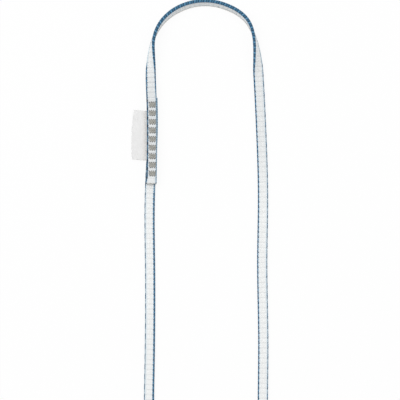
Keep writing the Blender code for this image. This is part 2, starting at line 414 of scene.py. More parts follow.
class BentGrid:
    """A flat grid of faces that is bent into a strip, tube or cloth."""

    weld: float = 1.0e-7

    def __init__(
        self, name: str, rings: np.ndarray, closed: bool = True, turns: tuple[float, float] = (1.0, 1.0)
    ) -> None:
        """Make the grid and move its points to their places.

        Args:
            name: The piece's name.
            rings: The places, as rows, columns and x, y, z.
            closed: Whether the last column meets the first and the ends are filled.
            turns: How far the UV map runs across the columns and along the rows.
        """
        self.name = name
        self.closed = closed
        self.rows, self.columns = rings.shape[:2]
        if closed:
            rings = np.concatenate([rings, rings[:, :1]], axis=1)
        self.shape = rings.shape[:2]
        shell = bmesh.new()
        shell.loops.layers.uv.new("UVMap")
        bmesh.ops.create_grid(
            shell, x_segments=self.shape[1] - 1, y_segments=self.shape[0] - 1, size=0.5, calc_uvs=True
        )
        self.mesh = bpy.data.meshes.new(name)
        shell.to_mesh(self.mesh)
        shell.free()
        self.mesh.vertices.foreach_set("co", rings.astype(np.float32).ravel())
        layer = self.mesh.uv_layers[0]
        flat = np.empty(2 * len(layer.data), dtype=np.float32)
        layer.data.foreach_get("uv", flat)
        flat.reshape(-1, 2)[:] *= turns
        layer.data.foreach_set("uv", flat)

    def paint(self, name: str, values: np.ndarray) -> None:
        """Keep a value for each point, for the material to read.

        Args:
            name: The attribute's name.
            values: The values, as rows and columns.
        """
        values = np.broadcast_to(values, (self.rows, self.columns))
        if self.closed:
            values = np.concatenate([values, values[:, :1]], axis=1)
        attribute = self.mesh.attributes.new(name, "FLOAT", "POINT")
        attribute.data.foreach_set("value", values.astype(np.float32).ravel())

    def finish(self, material: bpy.types.Material, slot: str) -> bpy.types.Object:
        """Weld and close the strip, and put it in the scene.

        Args:
            material: Its material.
            slot: The record's material slot. Not used.

        Returns:
            The piece.
        """
        shell = bmesh.new()
        shell.from_mesh(self.mesh)
        if self.closed:
            bmesh.ops.remove_doubles(shell, verts=shell.verts, dist=self.weld)
            open_edges = [edge for edge in shell.edges if edge.is_boundary]
            bmesh.ops.holes_fill(shell, edges=open_edges, sides=0)
        bmesh.ops.recalc_face_normals(shell, faces=shell.faces)
        shell.to_mesh(self.mesh)
        shell.free()
        self.mesh.shade_smooth()
        self.mesh.materials.append(material)
        piece = bpy.data.objects.new(self.name, self.mesh)
        bpy.context.scene.collection.objects.link(piece)
        return piece


class Wiring:
    """Short calls for building a node tree."""

    def __init__(self, tree: bpy.types.NodeTree) -> None:
        """Keep the tree that nodes go into."""
        self.tree = tree

    def node(self, kind: str, **settings: object) -> bpy.types.Node:
        """A new node.

        Args:
            kind: Its type's name, without the ShaderNode in front.
            settings: Properties to set on it.

        Returns:
            The node.
        """
        made = self.tree.nodes.new("ShaderNode" + kind)
        for name, value in settings.items():
            setattr(made, name, value)
        return made

    def put(self, value: object, socket: bpy.types.NodeSocket) -> None:
        """Link an output to a socket, or set the socket's own value.

        Args:
            value: The output, or the plain value.
            socket: The input that takes it.
        """
        if isinstance(value, bpy.types.NodeSocket):
            self.tree.links.new(value, socket)
        else:
            socket.default_value = value

    def math(self, operation: str, *values: object) -> bpy.types.NodeSocket:
        """A Math node's result.

        Args:
            operation: The node's operation.
            values: Numbers or outputs for its inputs, in order.

        Returns:
            Its output.
        """
        made = self.node("Math", operation=operation)
        for value, socket in zip(values, made.inputs, strict=False):
            self.put(value, socket)
        return made.outputs[0]

    def blend(self, factor: object, first: object, second: object) -> bpy.types.NodeSocket:
        """One colour turned into another by a factor.

        Args:
            factor: The share of the second colour.
            first: The first colour.
            second: The second colour.

        Returns:
            The mixed colour.
        """
        made = self.node("Mix", data_type="RGBA")
        self.put(factor, made.inputs["Factor"])
        self.put(first, made.inputs[6])
        self.put(second, made.inputs[7])
        return made.outputs[2]

    def spread(
        self, value: object, low: float, high: float, to_low: float, to_high: float
    ) -> bpy.types.NodeSocket:
        """A value moved from one range to another, clamped.

        Args:
            value: The value.
            low: Start of its range.
            high: End of its range.
            to_low: What the start becomes.
            to_high: What the end becomes.

        Returns:
            The new value.
        """
        made = self.node("MapRange")
        for entry, socket in zip((value, low, high, to_low, to_high), made.inputs, strict=False):
            self.put(entry, socket)
        return made.outputs[0]

    def attribute(self, name: str) -> bpy.types.NodeSocket:
        """A value painted on the mesh."""
        return self.node("Attribute", attribute_name=name).outputs["Fac"]

    def group(self, tree: bpy.types.NodeTree, **values: object) -> bpy.types.Node:
        """A node group with its own values.

        Args:
            tree: The group.
            values: Numbers, colours or outputs for its named inputs.

        Returns:
            The group's node.
        """
        made = self.node("Group", node_tree=tree)
        for name, value in values.items():
            self.put(value, made.inputs[name])
        return made


class NodeGroups:
    """Effects that more than one finish uses, each built once."""

    sway_scale: float = 3.0
    hair_scale: float = 2.0
    hair_detail: float = 3.0
    wave_share: float = 0.35
    gap_heights: tuple[float, float] = (0.2, 0.6)
    cloud_detail: float = 2.0
    drift_to_value: float = 2.0

    def __init__(self) -> None:
        """Build the groups."""
        self.fibres = self._fibres()
        self.tone = self._tone()

    @staticmethod
    def _new(
        name: str, inputs: dict[str, tuple[str, object]], outputs: dict[str, str]
    ) -> tuple[bpy.types.NodeTree, Wiring, bpy.types.Node, bpy.types.Node]:
        """An empty group with its sockets.

        Args:
            name: The group's name.
            inputs: Each input's name, with its socket type and default.
            outputs: Each output's name, with its socket type.

        Returns:
            The group, its wiring, its input node and its output node.
        """
        group = bpy.data.node_groups.new(name, "ShaderNodeTree")
        for entry, (kind, default) in inputs.items():
            socket = group.interface.new_socket(entry, in_out="INPUT", socket_type="NodeSocket" + kind)
            if default is not None:
                socket.default_value = default
        for entry, kind in outputs.items():
            group.interface.new_socket(entry, in_out="OUTPUT", socket_type="NodeSocket" + kind)
        wiring = Wiring(group)
        return group, wiring, group.nodes.new("NodeGroupInput"), group.nodes.new("NodeGroupOutput")

    def _fibres(self) -> bpy.types.NodeTree:
        """Fine fibres along the second UV axis, or slanted over it.

        Returns:
            The group, which puts out the fibres' height and a mask of the gaps between them.
        """
        group, wires, given, result = self._new(
            "fibres",
            {
                "Vector": ("Vector", None),
                "Across": ("Float", 60.0),
                "Along": ("Float", 1.0),
                "Slant": ("Float", 0.0),
                "Wander": ("Float", 0.6),
            },
            {"Height": "Float", "Gap": "Float"},
        )
        where = given.outputs["Vector"]
        split = wires.node("SeparateXYZ")
        wires.put(where, split.inputs[0])
        slow = wires.node("TexNoise", noise_dimensions="2D")
        wires.put(where, slow.inputs["Vector"])
        slow.inputs["Scale"].default_value = self.sway_scale
        centred = wires.math("SUBTRACT", slow.outputs["Fac"], 0.5)
        sway = wires.math("MULTIPLY", centred, given.outputs["Wander"])
        slanted = wires.math("MULTIPLY", split.outputs["Y"], given.outputs["Slant"])
        across = wires.math("MULTIPLY_ADD", split.outputs["X"], given.outputs["Across"], slanted)
        wave = wires.math("SINE", wires.math("MULTIPLY", wires.math("ADD", across, sway), math.tau))
        join = wires.node("CombineXYZ")
        wires.put(across, join.inputs["X"])
        wires.put(wires.math("MULTIPLY", split.outputs["Y"], given.outputs["Along"]), join.inputs["Y"])
        hair = wires.node("TexNoise", noise_dimensions="2D")
        wires.put(join.outputs[0], hair.inputs["Vector"])
        hair.inputs["Scale"].default_value = self.hair_scale
        hair.inputs["Detail"].default_value = self.hair_detail
        height = wires.math("MULTIPLY_ADD", wave, self.wave_share, hair.outputs["Fac"])
        wires.put(height, result.inputs["Height"])
        wires.put(wires.spread(height, *self.gap_heights, 1.0, 0.0), result.inputs["Gap"])
        return group

    def _tone(self) -> bpy.types.NodeTree:
        """A colour that drifts a little, lighter and darker, from place to place.

        Returns:
            The group, which puts out the colour.
        """
        group, wires, given, result = self._new(
            "tone",
            {"Colour": ("Color", (0.8, 0.8, 0.8, 1.0)), "Scale": ("Float", 400.0), "Amount": ("Float", 0.06)},
            {"Colour": "Color"},
        )
        cloud = wires.node("TexNoise")
        wires.put(wires.node("TexCoord").outputs["Object"], cloud.inputs["Vector"])
        wires.put(given.outputs["Scale"], cloud.inputs["Scale"])
        cloud.inputs["Detail"].default_value = self.cloud_detail
        centred = wires.math("SUBTRACT", cloud.outputs["Fac"], 0.5)
        drift = wires.math("MULTIPLY", centred, given.outputs["Amount"])
        shift = wires.node("HueSaturation")
        wires.put(given.outputs["Colour"], shift.inputs["Color"])
        wires.put(wires.math("MULTIPLY_ADD", drift, self.drift_to_value, 1.0), shift.inputs["Value"])
        wires.put(shift.outputs["Color"], result.inputs["Colour"])
        return group


@dataclass(frozen=True)
class Finish:
    """A finish's colours and plain numbers.

    shade is for its gaps and its painted shade, and pale for where it is covered or worn, or on the ribbon
    for its warm root with painted shadow. Its fibres are counted across the UV map, stretched along it, and
    slanted by a count for each unit along it. gap is how dark the gaps between them get, and the colour
    drifts in patches, smaller with a higher scale, by an amount.
    """

    name: str
    colour: Colour
    shade: Colour
    roughness: float
    fibres_across: float
    fibres_along: float
    fibre_slant: float
    gap: float
    patch_scale: float
    patch_amount: float
    bump: float
    pale: Colour | None = None
    shine: float = 0.35
    sheen: float = 0.10
    sheen_roughness: float = 0.5
    depth: float = 0.00006


class Dyer:
    """Makes the materials."""

    white = Finish(
        name="white_core",
        colour=(0.88, 0.89, 0.885),
        shade=(0.55, 0.58, 0.60),
        pale=(0.68, 0.80, 0.88),
        roughness=0.62,
        fibres_across=66.0,
        fibres_along=3.0,
        fibre_slant=0.0,
        gap=0.12,
        patch_scale=420.0,
        patch_amount=0.05,
        bump=0.40,
    )
    blue = Finish(
        name="blue_yarn",
        colour=(0.068, 0.205, 0.350),
        shade=(0.004, 0.022, 0.052),
        pale=(0.60, 0.72, 0.78),
        roughness=0.60,
        fibres_across=16.0,
        fibres_along=4.0,
        fibre_slant=1.4,
        gap=0.30,
        patch_scale=700.0,
        patch_amount=0.16,
        bump=0.50,
        shine=0.12,
        sheen=0.05,
        depth=0.00012,
    )
    grey = Finish(
        name="grey_thread",
        colour=(0.550, 0.545, 0.500),
        shade=(0.06, 0.056, 0.048),
        roughness=0.55,
        fibres_across=12.0,
        fibres_along=3.0,
        fibre_slant=4.0,
        gap=0.30,
        patch_scale=900.0,
        patch_amount=0.14,
        bump=0.50,
    )
    ribbon = Finish(
        name="white_ribbon",
        colour=(0.770, 0.770, 0.770),
        shade=(0.58, 0.57, 0.56),
        # warm tint with painted shadow, for the root by the tape
        pale=(0.71, 0.66, 0.61),
        roughness=0.48,
        fibres_across=110.0,
        fibres_along=60.0,
        fibre_slant=30.0,
        gap=0.25,
        patch_scale=260.0,
        patch_amount=0.06,
        bump=0.35,
    )
    sealed: Colour = (0.36, 0.34, 0.30)
    bare: Colour = (0.73, 0.67, 0.61)
    lit: Colour = (0.15, 0.36, 0.56)
    gaps: str = "between the fibres"

    def __init__(self) -> None:
        """Build the node groups that the finishes share."""
        self.groups = NodeGroups()

    def _dye(self, finish: Finish, layers: list[tuple[str, Colour]]) -> bpy.types.Material:
        """A material whose colour is laid on in layers, each where its mask is.

        Args:
            finish: The finish.
            layers: Each layer's mask and colour, in order. A mask is the name of a value painted on the
                mesh, or gaps.

        Returns:
            The material.
        """
        material = bpy.data.materials.new(finish.name)
        material.use_nodes = True
        wires = Wiring(material.node_tree)
        shader = material.node_tree.nodes["Principled BSDF"]
        shader.inputs["Sheen Weight"].default_value = finish.sheen
        shader.inputs["Sheen Roughness"].default_value = finish.sheen_roughness
        shader.inputs["Specular IOR Level"].default_value = finish.shine
        shader.inputs["Roughness"].default_value = finish.roughness
        fibres = wires.group(
            self.groups.fibres,
            Vector=wires.node("UVMap", uv_map="UVMap").outputs[0],
            Across=finish.fibres_across,
            Along=finish.fibres_along,
            Slant=finish.fibre_slant,
        )
        colour = (*finish.colour, 1.0)
        for mask, layer in layers:
            if mask == self.gaps:
                share = wires.math("MULTIPLY", fibres.outputs["Gap"], finish.gap)
            else:
                share = wires.attribute(mask)
            colour = wires.blend(share, colour, (*layer, 1.0))
        drift = wires.group(
            self.groups.tone, Colour=colour, Scale=finish.patch_scale, Amount=finish.patch_amount
        )
        wires.put(drift.outputs["Colour"], shader.inputs["Base Color"])
        bump = wires.node("Bump")
        bump.inputs["Strength"].default_value = finish.bump
        bump.inputs["Distance"].default_value = finish.depth
        wires.put(fibres.outputs["Height"], bump.inputs["Height"])
        wires.put(bump.outputs[0], shader.inputs["Normal"])
        return material

    def woven_white(self) -> bpy.types.Material:
        """White core: lengthwise fibres, blue beside the edges, painted shade at the weft, a painted shadow
        under the tacks, darker at the sealed ends.

        Returns:
            The material.
        """
        layers = [
            ("tint", self.white.pale),
            # painted shade in the weft lines and on the plain surface
            ("groove_and_shade", self.white.shade),
            (self.gaps, self.white.shade),
            # painted shadow under the tacks
            ("tack_shadow", self.grey.shade),
            ("sealed", self.sealed),
        ]
        return self._dye(self.white, layers)

    def blue_edge(self) -> bpy.types.Material:
        """Blue edge yarn: painted shade between its wraps and on every other wrap, a painted highlight on the
        others, darker at its melted ends, pale under the white weft.

        Returns:
            The material.
        """
        layers = [
            ("lit", self.lit),
            # painted shade, with the melted ends' own dark
            ("painted_shade", self.blue.shade),
            (self.gaps, self.blue.shade),
            ("pale", self.blue.pale),
            ("bare", self.bare),
        ]
        return self._dye(self.blue, layers)

    def grey_thread(self) -> bpy.types.Material:
        """Grey sewing thread with its plies laid round it, painted shade between the plies, where it dives
        into the tape and at the tack's top.
        """
        shade = self.grey.shade
        return self._dye(self.grey, [("valley", shade), (self.gaps, shade), ("painted_shade", shade)])

    def satin_ribbon(self) -> bpy.types.Material:
        """White satin ribbon: fine floats along it, crossed in steps, warmer and darker at its root, a warm
        tint with painted shadow from the tape.
        """
        shade, warm_and_shadow = self.ribbon.shade, self.ribbon.pale
        return self._dye(self.ribbon, [(self.gaps, shade), ("rim", shade), ("warm_and_shadow", warm_and_shadow)])


@dataclass(frozen=True)
class CoreTones:
    """How strong the core's tones are, as shares: painted shade in the weft lines and on its plain surface,
    then its sealed ends, blue tint and painted shadow under the tacks.
    """

    line: float = 0.35
    line_raised: float = 0.20
    line_standing: float = 0.15
    raised: float = 0.15
    front: float = 0.17
    far_up: float = 0.24
    inner_face: float = 0.24
    sealed: float = 0.80
    tint: float = 0.75
    tack_shadow: float = 0.50


@dataclass
class WovenCore:
    """The white core of the tape, with ribs along it and a weft line across it at every pillow.

    A rib's two tops lie at shares of its width. The painted shadow under the tacks fades out between two
    distances from a tack's middle, in halves of its length.
    """

    tape: TapeSizes
    route: TapeRoute
    joint: SewnJoint
    tones: CoreTones = CoreTones()
    rib_count: int = 4
    rib_tops: tuple[float, float] = (0.3, 0.7)
    rib_depth: float = 0.00014
    weft_depth: float = 0.00022
    side_share: float = 0.55
    side_inset: float = 0.97
    tint_from: float = 0.0018
    tint_to: float = 0.0030
    ragged: float = 0.00025
    ragged_length: float = 0.0015
    slow_wave: float = 2100.0
    fast_wave: float = 5300.0
    fast_share: float = 0.5
    fast_start: float = 1.0
    seal_length: float = 0.0009
    raised_heights: tuple[float, float] = (0.001, 0.003)
    far_up_places: tuple[float, float] = (0.10, 0.15)
    tack_shadow_fade: tuple[float, float] = (0.85, 0.60)
    per_pillow: int = 8
    full_line: tuple[float, ...] = (1.0, 0.28, 0.0, 0.0, 0.0, 0.0, 0.0, 0.28)
    half_line: tuple[float, ...] = (0.0, 0.0, 0.0, 0.15, 0.55, 0.15, 0.0, 0.0)

    def _section(self) -> tuple[np.ndarray, np.ndarray, np.ndarray]:
        """The core's section, with its ribs.

        Returns:
            For each column the place across, the place out as a share of half the thickness, and the
            rib number, which is -1 in the valleys and at the sides.
        """
        half = self.tape.core_width / 2
        rib = self.tape.core_width / self.rib_count
        valley = 1 - self.rib_depth / self.tape.half_thickness
        across, out, ribs = [], [], []
        for number in range(self.rib_count):
            left = -half + number * rib
            across += [left, *(left + rib * top for top in self.rib_tops)]
            out += [valley, 1.0, 1.0]
            ribs += [-1, number, number]
        across[0] = -half * self.side_inset
        out[0] = self.side_share
        across += [half * self.side_inset, half]
        out += [self.side_share, 0.0]
        ribs += [-1, -1]
        across = np.array(across + [-a for a in across])
        out = np.array(out + [-o for o in out])
        return across, out, np.array(ribs + ribs)

    def _weft(self, rows: int, ribs: np.ndarray) -> np.ndarray:
        """How far the weft pulls in: a line for each pillow, and a short one half way on every other rib.

        Args:
            rows: Number of rows along the tape.
            ribs: Rib number of each column.

        Returns:
            The depth at each point, from 0 to 1.
        """
        row = np.arange(rows) % self.per_pillow
        full = np.take(self.full_line, row)[:, None]
        half = np.take(self.half_line, row)[:, None] * ((ribs % 2 == 0) & (ribs >= 0))
        return np.maximum(full, half)

    def _painted_core_shade(self, stations: Stations, groove_and_shade: np.ndarray, out: np.ndarray) -> np.ndarray:
        """Painted shade at each point: in the weft lines, where the tape is raised, in the joint's upper
        layer, towards the top, and on the inner face where it stands on edge.

        Args:
            stations: The places along the tape.
            groove_and_shade: How far the weft pulls in at each point, which sets the painted shade of the
                lines.
            out: The place out of each column, a plus sign on the outer face.

        Returns:
            The share of the shade at each point.
        """
        tones = self.tones
        standing = np.abs(stations.edge[:, 2])
        front = self.joint.in_front(stations)
        raised = ramp(stations.centre[:, 2], *self.raised_heights) * (1 - front) * (1 - standing)
        far_up = ramp(stations.centre[:, 1], *self.far_up_places) * (1 - standing)
        line = tones.line + tones.line_raised * raised - tones.line_standing * standing
        plain = tones.raised * raised + tones.front * front + tones.far_up * far_up
        inner = tones.inner_face * standing[:, None] * (out < 0)
        return groove_and_shade * line[:, None] + plain[:, None] + inner

    def _tack_shadow(self, stations: Stations, across: np.ndarray, out: np.ndarray) -> np.ndarray:
        """Painted shadow of the bar tacks' threads on the core at each point.

        Args:
            stations: The places along the tape.
            across: The place across of each column.
            out: The place out of each column, a plus sign on the outer face.

        Returns:
            The share of the tack's shadow at each point.
        """
        joint = self.joint
        sewn = np.where(out > 0, joint.in_front(stations)[:, None], joint.in_back(stations)[:, None])
        under = np.abs(across - joint.sizes.tack_shift) < joint.sizes.tack_width / 2
        middle = ramp(joint.from_tack(stations), *self.tack_shadow_fade)[:, None]
        return middle * sewn * under * self.tones.tack_shadow

    def build(self, material: bpy.types.Material) -> bpy.types.Object:
        """Weave the core along the route.

        Args:
            material: Its material.

        Returns:
            The piece.
        """
        tape, joint, tones = self.tape, self.joint, self.tones
        stations = self.route.stations(tape.pillow / self.per_pillow)
        across, out, ribs = self._section()
        rows = len(stations.distance)
        groove_and_shade = self._weft(rows, ribs) * (np.abs(out) > self.side_share)
        outer, inner = joint.swell(stations)
        swell = np.where(out > 0, outer[:, None], inner[:, None])
        height = out * (tape.half_thickness + swell) - np.sign(out) * groove_and_shade * self.weft_depth
        flare = joint.flare(stations)[:, None] / tape.half_width
        wide = across * np.where(across < 0, 1 + flare, 1.0)
        wave = np.sin(wide * self.slow_wave)
        wave += self.fast_share * np.sin(wide * self.fast_wave + self.fast_start)
        forward = self.ragged * wave * stations.near_end(self.ragged_length)[:, None]
        rings = stations.place(wide, height, forward)
        grid = BentGrid("woven_core", rings, turns=(1.0, rows / self.per_pillow))
        # painted shade: weft lines, raised parts, the joint's upper layer, towards the top, inner faces on
        # edge
        grid.paint("groove_and_shade", self._painted_core_shade(stations, groove_and_shade, out))
        grid.paint("sealed", stations.near_end(self.seal_length)[:, None] * tones.sealed)
        grid.paint("tint", ramp(np.abs(across), self.tint_from, self.tint_to)[None, :] * tones.tint)
        # painted shadow of the tacks' threads
        grid.paint("tack_shadow", self._tack_shadow(stations, across, out))
        return grid.finish(material, "white_core")


@dataclass(frozen=True)
class Cover:
    """How far in over the core an edge yarn reaches, in each part of the tape."""

    right: float
    left: float
    inside: float
    in_joint: float
    above: float


@dataclass(frozen=True)
class YarnTones:
    """How strong the edge yarn's painted highlights and shade, pale weft and bare inside are, as shares, and
    what makes them weaker or stronger.
    """

    wrap_shade: float = 0.50
    light_wrap: float = 0.75
    wrap_overlap: float = 0.20
    calm_beaded: float = 0.15
    calm_crown: float = 0.30
    crest_highlight: float = 0.35
    gap: float = 0.95
    gap_power: float = 0.80
    gap_power_beaded: float = 0.30
    spot: float = 0.92
    spot_near: float = 0.30
    end_shadow: float = 0.85
    lit_sewn: float = 0.80
    lit_less_front: float = 0.70
    front_shade: float = 0.20
    shade_less_turning: float = 0.85
    pale_near: float = 0.28
    pale_left: float = 0.90
    pale_right: float = 0.60
    pale_less_above: float = 0.80
    pale_tight: float = 0.18
    pale_turning: float = 0.97
    pale_inside: float = 0.90
    pale_less_dark: float = 0.50
    bare: float = 0.90


@dataclass
class Wraps:
    """An edge yarn's wraps, and how far each place along it is in each part of the tape, from 0 to 1.

    place numbers the wraps, outside marks the columns on the outer side, and valley is 1 between two wraps.
    """

    stations: Stations
    place: np.ndarray
    outside: np.ndarray
    valley: np.ndarray
    standing: np.ndarray
    turning: np.ndarray
    left: np.ndarray
    front: np.ndarray
    back: np.ndarray
    above: np.ndarray

    @property
    def sewn(self) -> np.ndarray:
        """In either layer of the joint."""
        return np.maximum(self.front, self.back)

    @property
    def beaded(self) -> np.ndarray:
        """Where the wraps stand apart like beads: on edge, and on the left leg."""
        return np.maximum(self.standing, self.left)


@dataclass
class EdgeYarn:
    """The blue yarn wrapped over one edge of the tape, one slanted wrap for each half pillow.

    Pairs of numbers are where something starts and where it is whole, on an axis or as a share.
    """

    edge: Edge
    tape: TapeSizes
    route: TapeRoute
    joint: SewnJoint
    cover: Cover
    tones: YarnTones = YarnTones()
    thick: float = 0.00112
    thick_inside: float = 0.00100
    swollen: float = 0.00040
    follows_swell: float = 0.6
    wider_standing: float = 0.7
    less_in_valley: float = 0.15
    hidden_share: float = 0.88
    hidden_heights: tuple[float, float] = (-0.5, 0.5)
    bump: float = 0.00020
    slant: float = 0.45
    valley_width: float = 0.75
    minor_valley: float = 0.75
    leg_change: tuple[float, float] = (0.03, -0.03)
    above_joint: tuple[float, float] = (0.186, 0.192)
    crown: tuple[float, float] = (0.246, 0.256)
    turn_starts: tuple[float, float] = (0.40, 0.60)
    turn_ends: tuple[float, float] = (0.99, 0.94)
    crest_top: tuple[float, float] = (0.6, 1.0)
    between_tacks: tuple[float, float] = (0.35, 0.80)
    melt_length: float = 0.0012
    shadow_below: float = 0.0009
    shadow_fade: tuple[float, float] = (0.00135, 0.00045)
    per_wrap: int = 8
    profile: tuple[tuple[float, float], ...] = (
        (0.0, 0.86),
        (0.14, 0.98),
        (0.40, 1.0),
        (0.66, 0.93),
        (0.86, 0.70),
        (0.97, 0.38),
        (1.0, 0.0),
    )

    @property
    def wrap(self) -> float:
        """Length of tape that one wrap covers."""
        return self.tape.pillow / 2

    def _section(self) -> tuple[np.ndarray, np.ndarray]:
        """The yarn's section, from its outer side round the rim to its inner side.

        Returns:
            For each column the share of the way to the rim, and the height as a share of the thickness.
        """
        share, high = np.array(self.profile).T
        return np.concatenate([share, share[-2::-1]]), np.concatenate([high, -high[-2::-1]])

    def _wraps(self, stations: Stations, high: np.ndarray) -> Wraps:
        """The wraps along the tape.

        Args:
            stations: The places along the tape.
            high: Height of each column.

        Returns:
            The wraps.
        """
        x, y = stations.centre[:, 0, None], stations.centre[:, 1, None]
        standing = np.abs(stations.edge[:, 2, None])
        front = self.joint.in_front(stations)[:, None]
        place = stations.distance[:, None] / self.wrap + self.slant * np.linspace(1, -1, len(high))
        valley = np.clip(1 - np.abs(np.sin(math.pi * place)) / self.valley_width, 0, 1)
        return Wraps(
            stations=stations,
            place=place,
            outside=high >= 0,
            valley=valley * np.where(np.round(place) % 2 == 0, 1.0, self.minor_valley),
            standing=standing,
            turning=ramp(standing, *self.turn_starts) * ramp(standing, *self.turn_ends),
            left=ramp(x, *self.leg_change),
            front=front,
            back=self.joint.in_back(stations)[:, None],
            above=(x < 0) * ramp(y, *self.above_joint) * (1 - front),
        )

    def _rings(self, wraps: Wraps, share: np.ndarray, high: np.ndarray) -> np.ndarray:
        """The yarn's points: its wraps, and two hidden columns that close it inside the core.

        Args:
            wraps: The wraps.
            share: Share of the way to the rim, for each column.
            high: Height of each column, as a share of the thickness.

        Returns:
            The points, as rows, columns and x, y, z.
        """
        cover, stations = self.cover, wraps.stations
        outer, inner = (face[:, None] for face in self.joint.swell(stations))
        thick_inside = self.thick_inside + self.swollen * wraps.standing + inner
        thick = np.where(wraps.outside, self.thick + self.follows_swell * outer, thick_inside)
        reach = cover.right + (cover.left - cover.right) * wraps.left
        reach += (cover.in_joint - reach) * wraps.front
        reach += (cover.above - reach) * wraps.above
        reach_inside = cover.inside * (1 + self.wider_standing * wraps.standing)
        reach = np.where(wraps.outside, reach, reach_inside) * (1 - self.less_in_valley * wraps.valley)
        half = self.tape.half_width
        if self.edge is Edge.FAR:
            half = half + self.joint.flare(stations)[:, None]
        across = half - reach * (1 - share) - self.bump * wraps.valley * share
        out = high * (thick - self.bump * wraps.valley)
        hidden = (len(stations.distance), 2)
        hidden_across = np.broadcast_to(half - self.hidden_share * reach[:, :1], hidden)
        hidden_out = np.broadcast_to(np.array(self.hidden_heights) * self.tape.half_thickness, hidden)
        across = np.concatenate([across, hidden_across], axis=1)
        out = np.concatenate([out, hidden_out], axis=1)
        return stations.place(self.edge.value * across, out)

    def _painted_light_and_shade(self, wraps: Wraps) -> tuple[np.ndarray, np.ndarray]:
        """Painted highlight and shade on the wraps: one lit, the next shaded, calmer where they are beaded,
        with a painted highlight on the crests there.

        Args:
            wraps: The wraps.

        Returns:
            The painted highlight and the painted shade at each point, from 0 to 1.
        """
        tones = self.tones
        turn = np.cos(math.pi * (wraps.place - 0.5))
        on_crown = wraps.standing * ramp(wraps.stations.centre[:, 1, None], *self.crown)
        calm = 1 - tones.calm_beaded * wraps.beaded - tones.calm_crown * on_crown
        crest_highlight = ramp(np.abs(np.sin(math.pi * wraps.place)), *self.crest_top) * wraps.beaded
        # painted highlight on every other wrap and on beaded crests, painted shade on the wraps between
        lit = np.clip(tones.wrap_overlap - turn, 0, 1) * tones.light_wrap * calm
        lit = np.maximum(lit, tones.crest_highlight * crest_highlight)
        dark = np.clip(tones.wrap_overlap + turn, 0, 1) * tones.wrap_shade * calm
        if self.edge is Edge.NEAR:
            return np.maximum(lit, tones.lit_sewn * wraps.sewn), dark * (1 - wraps.sewn)
        lit = lit * (1 - tones.lit_less_front * wraps.front)
        return lit, np.maximum(dark, tones.front_shade * wraps.front)

    def _painted_shade_and_melt(self, wraps: Wraps, dark: np.ndarray) -> np.ndarray:
        """How dark each point is in all: painted shade between the wraps and on the shaded ones, darker
        midway between the tacks, a painted shadow under the tape's end, and the cuts' own melted dark.

        Args:
            wraps: The wraps.
            dark: The painted shade of the wraps.

        Returns:
            The share of the shade at each point.
        """
        tones, stations, joint = self.tones, wraps.stations, self.joint
        gap = wraps.valley ** (tones.gap_power - tones.gap_power_beaded * wraps.beaded) * tones.gap
        spot = ramp(-joint.beat(stations), *self.between_tacks)[:, None]
        if self.edge is Edge.NEAR:
            from_shadow = np.abs(stations.centre[:, 1, None] - joint.end[1] + self.shadow_below)
            shadow = ramp(from_shadow, *self.shadow_fade) * (wraps.back > 0)
            spot = np.maximum(tones.spot_near * spot, tones.end_shadow * shadow)
        # the cut ends' own melted dark colour
        melted = stations.near_end(self.melt_length)[:, None]
        painted_shade = np.maximum(np.maximum(gap, dark), np.maximum(tones.spot * spot, melted))
        if self.edge is Edge.FAR:
            painted_shade = painted_shade * (1 - tones.shade_less_turning * wraps.turning)
        return painted_shade

    def _pale(self, wraps: Wraps) -> np.ndarray:
        """Where the white weft covers the blue.

        On the far edge it covers every other pillow outside and nearly all inside. On the near edge it shows
        a little, and only in the joint.

        Args:
            wraps: The wraps.

        Returns:
            The cover at each point, from 0 to 1.
        """
        tones = self.tones
        if self.edge is Edge.NEAR:
            return tones.pale_near * wraps.sewn + np.zeros_like(wraps.place)
        leg = np.where(wraps.stations.centre[:, 0, None] < 0, tones.pale_left, tones.pale_right)
        covered = leg * (np.floor(wraps.place / 2) % 2 == 0) * (1 - tones.pale_less_above * wraps.above)
        tight = np.clip(self.joint.beat(wraps.stations), 0, 1)[:, None] * tones.pale_tight
        outer = np.maximum(covered, tones.pale_turning * wraps.turning) * (1 - wraps.front) + tight
        return np.where(wraps.outside, outer, tones.pale_inside)

    def build(self, material: bpy.types.Material) -> bpy.types.Object:
        """Wrap the edge.

        Args:
            material: Its material.

        Returns:
            The piece.
        """
        stations = self.route.stations(self.wrap / self.per_wrap)
        share, high = self._section()
        wraps = self._wraps(stations, high)
        piece_name = self.edge.name.lower() + "_edge_yarn"
        turns = (1.0, stations.distance[-1] / self.wrap)
        grid = BentGrid(piece_name, self._rings(wraps, share, high), turns=turns)
        lit, dark = self._painted_light_and_shade(wraps)
        painted_shade = self._painted_shade_and_melt(wraps, dark)
        painted = {
            # painted shade and painted shadow, with the melted ends' own dark
            "painted_shade": painted_shade,
            "pale": self._pale(wraps) * (1 - self.tones.pale_less_dark * painted_shade),
            "lit": lit,
            "bare": self.tones.bare * wraps.standing * ~wraps.outside * (self.edge is Edge.FAR),
        }
        hidden = np.zeros((len(painted_shade), 2))
        for name, values in painted.items():
            grid.paint(name, np.concatenate([values, hidden], axis=1))
        return grid.finish(material, "blue_yarn")


